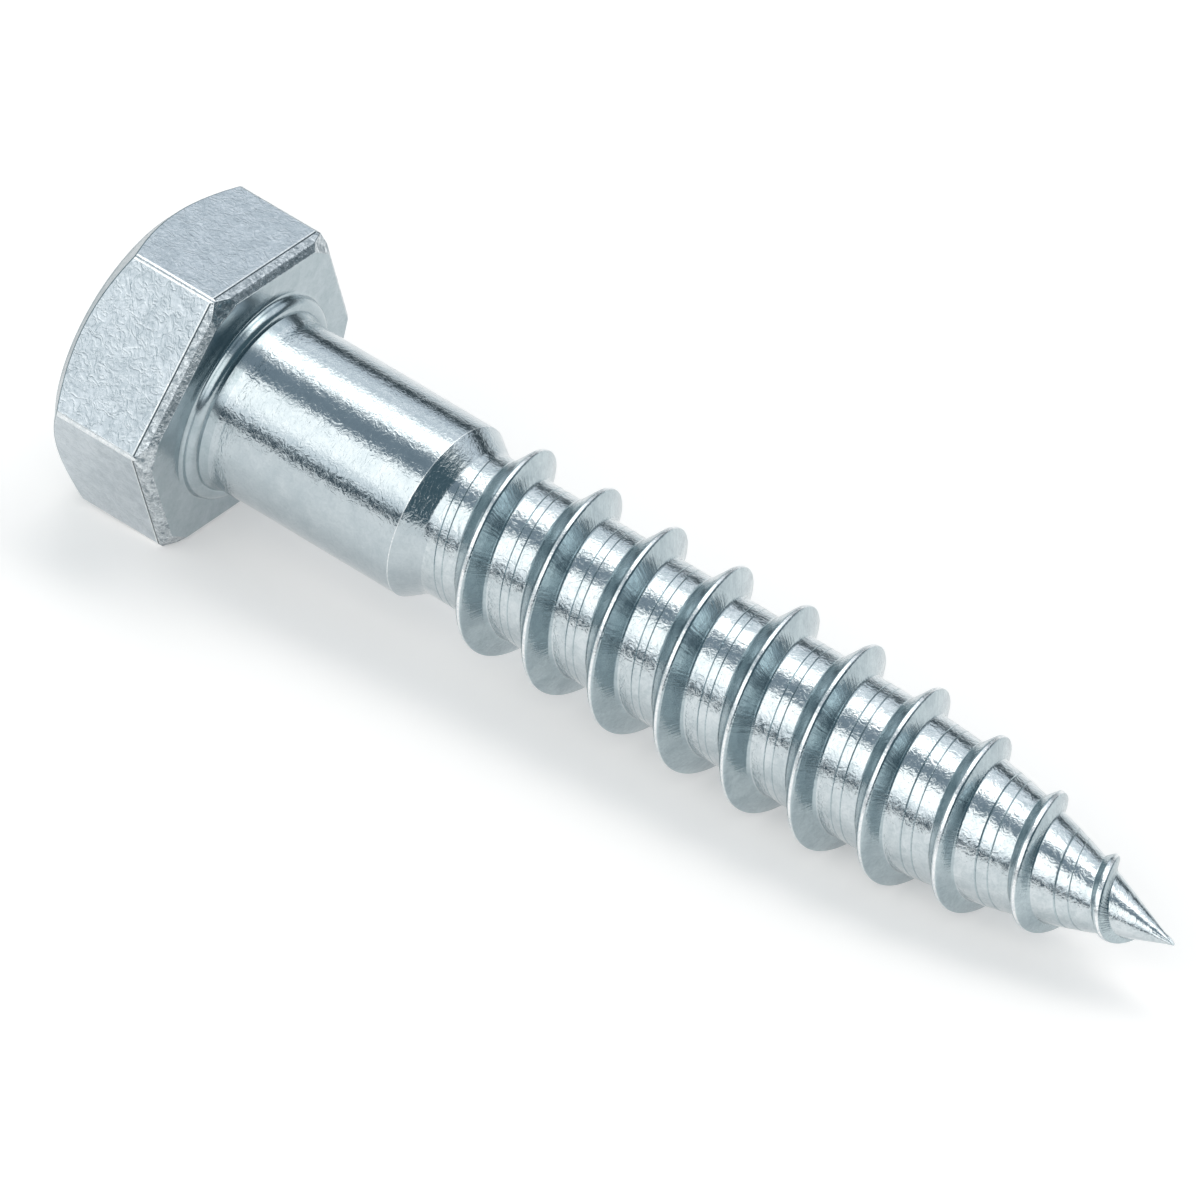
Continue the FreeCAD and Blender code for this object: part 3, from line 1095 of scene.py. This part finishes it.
def select_open_edges(piece: bpy.types.Object, place: float, reach: float) -> None:
    """Select the open edges of the piece in edit mode that lie near a place along the axis.

    Args:
        piece: object in edit mode.
        place: place along the axis.
        reach: how far from it an edge may lie.
    """
    bpy.ops.mesh.select_all(action="DESELECT")
    mesh = bmesh.from_edit_mesh(piece.data)
    for edge in mesh.edges:
        middle = (edge.verts[0].co.x + edge.verts[1].co.x) / 2
        edge.select = edge.is_boundary and abs(middle - place) <= reach
    mesh.select_flush_mode()
    bmesh.update_edit_mesh(piece.data)


@dataclass
class LagScrew:
    """The whole one-piece screw, at rest on the floor."""

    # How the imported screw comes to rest: the dip of its axis towards the tip, in degrees, and the place
    # of the bearing face's middle.
    tilt: float = 3.826926
    bearing_place: tuple[float, float, float] = (-30.3911, 0.0, 9.42375)
    # Place along the axis where the shoulder is bridged to the threaded core, and the gap between them.
    joint: float = 16.9
    joint_gap: float = 0.06
    # X of a face's normal past which the face is pressed, the rim's band, its line painted dark as shade,
    # a flank or the ridge's rounding painted pale as a highlight, or, leaning to the head, painted dark
    # as shade or the crown. A face of a flat has a normal that matches the flat's this well.
    pressed_lean: float = 0.95
    rim_lean: float = 0.06
    shade_line_lean: float = 0.043
    flank_lean: float = 0.45
    ridge_lean: float = 0.05
    crown_shade_lean: float = -0.03
    crown_lean: float = -0.999
    flat_match: float = 0.9998
    # Faces nearer to the axis than this belong to the tip's point.
    point_radius: float = 1.0
    # Edges sharper than this are shaded sharp.
    smooth_angle: float = 32.0
    blank: Blank = field(default_factory=Blank)
    thread: Thread = field(default_factory=Thread)

    def weld(self, pieces: list[bpy.types.Object]) -> bpy.types.Object:
        """Join the head, the shank and the threaded core into one closed skin.

        Args:
            pieces: the three forms, each open where it meets the next.

        Returns:
            The joined object.
        """
        whole = pieces[0]
        take_up(whole)
        for piece in pieces:
            piece.select_set(True)
        bpy.ops.object.join()
        whole.name = whole.data.name = "lag_screw_skin"
        bpy.ops.object.mode_set(mode="EDIT")
        bpy.ops.mesh.select_mode(type="EDGE")
        bpy.ops.mesh.select_all(action="SELECT")
        bpy.ops.mesh.remove_doubles(threshold=MERGE)
        select_open_edges(whole, self.joint, self.joint_gap)
        bpy.ops.mesh.bridge_edge_loops()
        bpy.ops.mesh.select_all(action="SELECT")
        bpy.ops.mesh.normals_make_consistent(inside=False)
        bpy.ops.object.mode_set(mode="OBJECT")
        return whole

    def dress(self, piece: bpy.types.Object) -> None:
        """Give each region of the skin its finish.

        Args:
            piece: the joined screw, still in millimetres along +X.
        """
        skins = list(Skin)
        for skin in skins:
            piece.data.materials.append(FINISHES[skin].build(self.tilt, Vector(self.bearing_place)))
        for face in piece.data.polygons:
            skin = self.head_skin(face) if face.center.x < SAME_PLACE else self.body_skin(face)
            face.material_index = skins.index(skin)

    def head_skin(self, face: bpy.types.MeshPolygon) -> Skin:
        """Choose the finish of a face of the head by the way that it faces.

        Args:
            face: a face up to the bearing face.

        Returns:
            Its finish.
        """
        if face.normal.x > self.pressed_lean:
            return Skin.PRESSED
        if face.normal.x > self.rim_lean:
            return Skin.RIM
        # A narrow strip round the rim, leaning a little towards the tip, is painted dark as shade.
        if face.normal.x > self.shade_line_lean:
            return Skin.SCORE
        match = max(face.normal.dot(radial(SIDE_TURN * side)) for side in range(SIDES))
        if match > self.flat_match or face.normal.x < self.crown_lean:
            return Skin.HEAD
        # Faces leaning towards the crown are painted dark as shade; the other edges are painted pale as a
        # highlight.
        return Skin.TURNED if face.normal.x < self.crown_shade_lean else Skin.EDGE

    def body_skin(self, face: bpy.types.MeshPolygon) -> Skin:
        """Choose the finish of a face past the bearing face by its place and the way that it faces.

        Args:
            face: a face of the bead, the shank or the threaded core.

        Returns:
            Its finish.
        """
        blank = self.blank
        x, y, z = face.center
        if x < blank.bead_rise + blank.bead_radius + blank.flare_length / 2:
            return Skin.PRESSED
        # The ridge's rounding is painted pale as a highlight.
        if abs(x - blank.shank_length) < blank.ridge_round and face.normal.x > self.ridge_lean:
            return Skin.EDGE
        if x < self.joint:
            return Skin.SHANK
        if math.hypot(y, z) > self.point_radius and abs(face.normal.x) > self.flank_lean:
            return Skin.FLANK
        # A line along the crest is painted pale as a highlight.
        on_crest = abs(self.thread.offset(x, y, z)) < self.thread.crest_highlight_half_width
        return Skin.CREST if on_crest and x < self.thread.end else Skin.CORE

    def lay_down(self, piece: bpy.types.Object) -> None:
        """Bring the piece to its resting place in metres, with nothing left on its object.

        Args:
            piece: the dressed screw, in millimetres along +X.
        """
        take_up(piece)
        piece.rotation_euler = (0, math.radians(self.tilt), 0)
        piece.scale = (MM, MM, MM)
        piece.location = [value * MM for value in self.bearing_place]
        bpy.ops.object.transform_apply(location=True, rotation=True, scale=True)

    def build(self) -> bpy.types.Object:
        """Make, dress and lay down the screw.

        Returns:
            The finished piece.
        """
        half = self.joint_gap / 2
        head = self.blank.build_head()
        shank = self.blank.build_shank(self.joint - half)
        core = self.thread.build(self.joint + half)
        for piece in (head, shank, core):
            LOG.info("%s: %d faces", piece.name, len(piece.data.polygons))
        whole = self.weld([head, shank, core])
        self.dress(whole)
        take_up(whole)
        bpy.ops.object.shade_smooth_by_angle(angle=math.radians(self.smooth_angle))
        apply_modifier(whole, "WEIGHTED_NORMAL", mode="FACE_AREA", keep_sharp=True)
        self.lay_down(whole)
        return whole


@dataclass
class Studio:
    """Pale floor and a tent of soft light: an overhead softbox, one by the camera, grey between."""

    # The floor, and how much light it adds where it is seen, so that it reads white.
    floor_size: float = 1600.0
    floor_colour: str = "#ece9e7"
    floor_lift: float = 0.31
    strength: float = 1.8
    # Colours round the screw's axis, by angle from straight up towards the camera's side.
    bands: tuple[tuple[float, str], ...] = (
        (-180, "#9a9d9f"),
        (-92, "#bcc0c2"),
        (-79, "#a4a9ac"),
        (-75, "#353c40"),
        (-62, "#3f484d"),
        (-58, "#b4bac0"),
        (-46, "#b4bac0"),
        (-45, "#f8f8f8"),
        (-43, "#f8f8f8"),
        (-42, "#b4bac0"),
        (-34, "#c2c7cd"),
        (-28, "#f4f3f1"),
        (-7, "#f6f5f3"),
        (3, "#6f7b84"),
        (26, "#6b7780"),
        (33, "#fffefc"),
        (62, "#fffefc"),
        (66, "#d6d9db"),
        (76, "#d0d4d7"),
        (80, "#414c53"),
        (90, "#3a454c"),
        (94, "#9a9d9f"),
    )
    # Past each end of the screw the bands give way to a plain colour. They do so between two steepnesses
    # along the axis, as parts of 1, counted from a middle a little towards the tip.
    head_end_colour: str = "#7d8c91"
    tip_end_colour: str = "#3f5159"
    middle: float = 0.02
    end_from: float = 0.48
    end_to: float = 0.67
    # The overhead softbox itself: degrees from straight up, millimetres and watts.
    lamp_angle: float = -16.0
    lamp_distance: float = 900.0
    lamp_length: float = 900.0
    lamp_width: float = 300.0
    lamp_power: float = 0.9

    def build_floor(self) -> None:
        """Make the floor, which reads white to the camera and in the metal but keeps shadows."""
        deselect()
        bpy.ops.mesh.primitive_plane_add(size=self.floor_size * MM, location=(0, 0, 0))
        floor = bpy.context.object
        floor.name = "studio_floor"
        material = bpy.data.materials.new("matt_white_paper_floor")
        material.use_nodes = True
        tree = material.node_tree
        tree.nodes.clear()
        rays = add_node(tree, "ShaderNodeLightPath")
        seen = add_node(
            tree,
            "ShaderNodeMath",
            links={0: rays.outputs["Is Camera Ray"], 1: rays.outputs["Is Glossy Ray"]},
            operation="ADD",
        )
        seen_through = add_node(
            tree,
            "ShaderNodeMath",
            links={0: seen.outputs[0], 1: rays.outputs["Is Transmission Ray"]},
            operation="ADD",
            use_clamp=True,
        )
        lift = add_node(
            tree,
            "ShaderNodeMath",
            values={1: self.floor_lift},
            links={0: seen_through.outputs[0]},
            operation="MULTIPLY",
        )
        paper = add_node(
            tree, "ShaderNodeBsdfDiffuse", values={"Color": linear_colour(self.floor_colour)}
        )
        glow = add_node(tree, "ShaderNodeEmission", links={"Strength": lift.outputs[0]})
        both = add_node(tree, "ShaderNodeAddShader", links={0: paper.outputs[0], 1: glow.outputs[0]})
        add_node(tree, "ShaderNodeOutputMaterial", links={"Surface": both.outputs[0]})
        floor.data.materials.append(material)

    def band_light(self, tree: Tree, parts: bpy.types.Node) -> Socket:
        """Add the bands of soft light round the screw's axis.

        Args:
            tree: the world's node tree.
            parts: the node that takes the direction apart.

        Returns:
            Colour of the light from each direction.
        """
        towards = add_node(
            tree, "ShaderNodeMath", values={1: -1.0}, links={0: parts.outputs["Y"]}, operation="MULTIPLY"
        )
        angle = add_node(
            tree,
            "ShaderNodeMath",
            links={0: towards.outputs[0], 1: parts.outputs["Z"]},
            operation="ARCTAN2",
        )
        turn = add_node(
            tree,
            "ShaderNodeMapRange",
            values={"From Min": -math.pi, "From Max": math.pi},
            links={"Value": angle.outputs[0]},
        )
        ramp = add_node(tree, "ShaderNodeValToRGB", links={"Fac": turn.outputs["Result"]})
        stops = ramp.color_ramp.elements
        while len(stops) < len(self.bands):
            stops.new(1.0)
        for stop, (degrees, colour) in zip(stops, self.bands):
            stop.position = (degrees + 180) / 360
            stop.color = linear_colour(colour)
        return ramp.outputs["Color"]

    def end_light(self, tree: Tree, parts: bpy.types.Node, bands: Socket) -> Socket:
        """Let the bands give way to a plain colour past each end of the screw.

        Args:
            tree: the world's node tree.
            parts: the node that takes the direction apart.
            bands: colour of the bands.

        Returns:
            Colour of the light from each direction.
        """
        shifted = add_node(
            tree,
            "ShaderNodeMath",
            values={1: self.middle},
            links={0: parts.outputs["X"]},
            operation="SUBTRACT",
        ).outputs[0]
        sideways = add_node(tree, "ShaderNodeMath", links={0: shifted}, operation="ABSOLUTE")
        to_end = add_node(
            tree,
            "ShaderNodeMapRange",
            values={"From Min": self.end_from, "From Max": self.end_to},
            links={"Value": sideways.outputs[0]},
            interpolation_type="SMOOTHSTEP",
        )
        past_tip = add_node(
            tree, "ShaderNodeMath", values={1: 0.0}, links={0: shifted}, operation="GREATER_THAN"
        )
        ends = add_node(
            tree,
            "ShaderNodeMix",
            values={6: linear_colour(self.head_end_colour), 7: linear_colour(self.tip_end_colour)},
            links={0: past_tip.outputs[0]},
            data_type="RGBA",
        )
        return add_node(
            tree,
            "ShaderNodeMix",
            links={0: to_end.outputs["Result"], 6: bands, 7: ends.outputs[2]},
            data_type="RGBA",
        ).outputs[2]

    def build_tent(self) -> None:
        """Make the world: bands of soft light round the screw, with darker ends."""
        world = bpy.data.worlds.new("soft_light_tent")
        bpy.context.scene.world = world
        world.use_nodes = True
        tree = world.node_tree
        tree.nodes.clear()
        place = add_node(tree, "ShaderNodeTexCoord")
        parts = add_node(tree, "ShaderNodeSeparateXYZ", links={0: place.outputs["Generated"]})
        light = self.end_light(tree, parts, self.band_light(tree, parts))
        background = add_node(
            tree, "ShaderNodeBackground", values={"Strength": self.strength}, links={"Color": light}
        )
        add_node(tree, "ShaderNodeOutputWorld", links={"Surface": background.outputs[0]})

    def build_lamp(self) -> None:
        """Make the overhead softbox itself, which throws the soft shadow towards the camera."""
        data = bpy.data.lights.new("overhead_softbox", "AREA")
        data.shape = "RECTANGLE"
        data.size = self.lamp_length * MM
        data.size_y = self.lamp_width * MM
        data.energy = self.lamp_power
        lamp = bpy.data.objects.new("overhead_softbox", data)
        bpy.context.scene.collection.objects.link(lamp)
        lamp.location = radial(self.lamp_angle) * self.lamp_distance * MM
        lamp.rotation_euler = (math.radians(self.lamp_angle), 0, 0)


@dataclass
class Camera:
    """Long lens above the screw's near side, leaning a little, as the photograph was taken."""

    # Degrees, and millimetres on the floor's own axes.
    azimuth: float = 30.275
    elevation: float = 34.643
    roll: float = 9.176
    distance: float = 1000.0
    aim: tuple[float, float, float] = (-3.168, -0.754, 8.457)
    lens: float = 494.9
    sensor: float = 36.0
    clip_near: float = 10.0
    clip_far: float = 10000.0

    def build(self) -> None:
        """Make the camera and look through it."""
        data = bpy.data.cameras.new("camera")
        data.lens = self.lens
        data.sensor_width = self.sensor
        data.clip_start = self.clip_near * MM
        data.clip_end = self.clip_far * MM
        camera = bpy.data.objects.new("camera", data)
        bpy.context.scene.collection.objects.link(camera)
        level = Euler((math.radians(90 - self.elevation), 0, math.radians(self.azimuth)))
        turned = level.to_quaternion() @ Quaternion((0, 0, 1), math.radians(self.roll))
        camera.rotation_euler = turned.to_euler()
        camera.location = (Vector(self.aim) + turned @ Vector((0, 0, self.distance))) * MM
        bpy.context.scene.camera = camera


def main() -> None:
    """Build the camera, the studio and the screw, in that order."""
    logging.basicConfig(level=logging.INFO, format="%(name)s: %(message)s")
    Camera().build()
    studio = Studio()
    studio.build_floor()
    studio.build_tent()
    studio.build_lamp()
    screw = LagScrew().build()
    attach(screw, "root")
    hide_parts("lag_screw")
    LOG.info("%s: %d faces", screw.name, len(screw.data.polygons))
    bpy.context.scene.view_settings.view_transform = "Standard"


if __name__ == "__main__":
    main()
